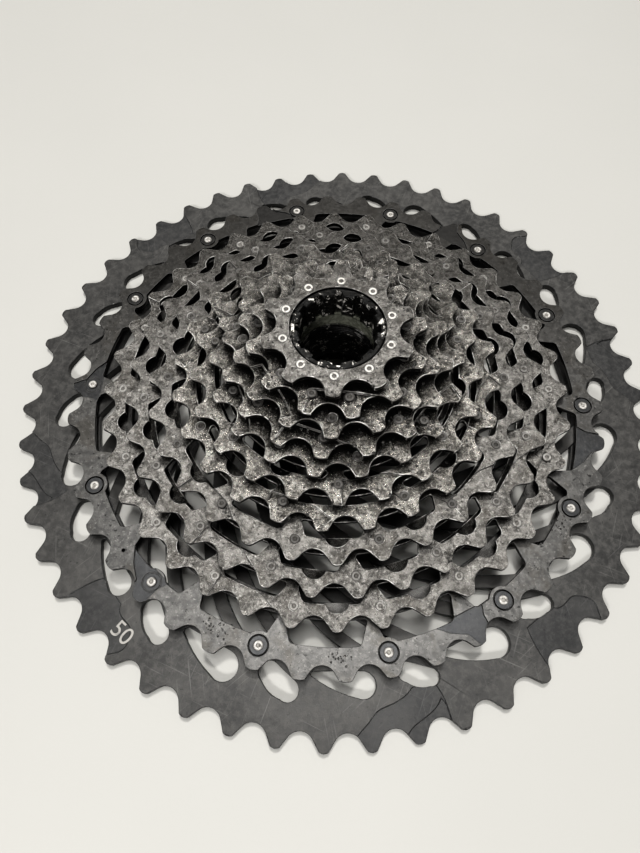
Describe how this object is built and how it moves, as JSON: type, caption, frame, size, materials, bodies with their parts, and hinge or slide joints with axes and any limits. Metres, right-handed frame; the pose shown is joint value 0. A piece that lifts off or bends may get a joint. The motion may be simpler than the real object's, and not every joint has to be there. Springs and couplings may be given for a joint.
{
  "type": "bicycle cassette sprocket",
  "caption": "Cone of stacked bicycle chain sprockets riveted together with small pins, on a forked alloy spider, with a free-turning threaded lock tube in its bore.",
  "frame": {"origin": "on the sprockets' common axis, in the flat inboard face of the largest sprocket", "axes": "+Z along the axis, from the largest sprocket to the smallest; +X and +Y across it"},
  "size_m": [0.2038, 0.204, 0.0454],
  "materials": {
    "alloy_sprocket": "satin charcoal anodised, worn",
    "large_steel_sprocket": "satin grey plated steel, fine scratches",
    "steel_sprocket": "gritty brown-grey used steel with bright worn edges",
    "pins": "bright stainless, headed over",
    "lock_tube": "black anodised, dull",
    "snap_ring": "spring steel"
  },
  "bodies": {
    "cluster": {"sprocket_50": "alloy_sprocket", "sprocket_42": "large_steel_sprocket", "sprocket_36": "steel_sprocket", "sprocket_32": "steel_sprocket", "sprocket_28": "steel_sprocket", "sprocket_24": "steel_sprocket", "sprocket_21": "steel_sprocket", "sprocket_18": "steel_sprocket", "sprocket_16": "steel_sprocket", "sprocket_14": "steel_sprocket", "sprocket_12": "steel_sprocket", "sprocket_10": "steel_sprocket", "pins_42_50": "pins", "pins_36_42": "pins", "pins_32_36": "pins", "pins_28_32": "pins", "pins_24_28": "pins", "pins_21_24": "pins", "pins_18_21": "pins", "pins_16_18": "pins", "pins_14_16": "pins", "pins_12_14": "pins", "pins_10_12": "pins"},
    "lock": {"lock_tube": "lock_tube", "lock_tube_snap_ring": "snap_ring"}
  },
  "joints": [
    {"name": "lock_tube_turn", "type": "hinge", "parent": "cluster", "child": "lock", "pos_m": [0, 0, 0.04], "axis": [0, 0, 1], "continuous": true}
  ]
}
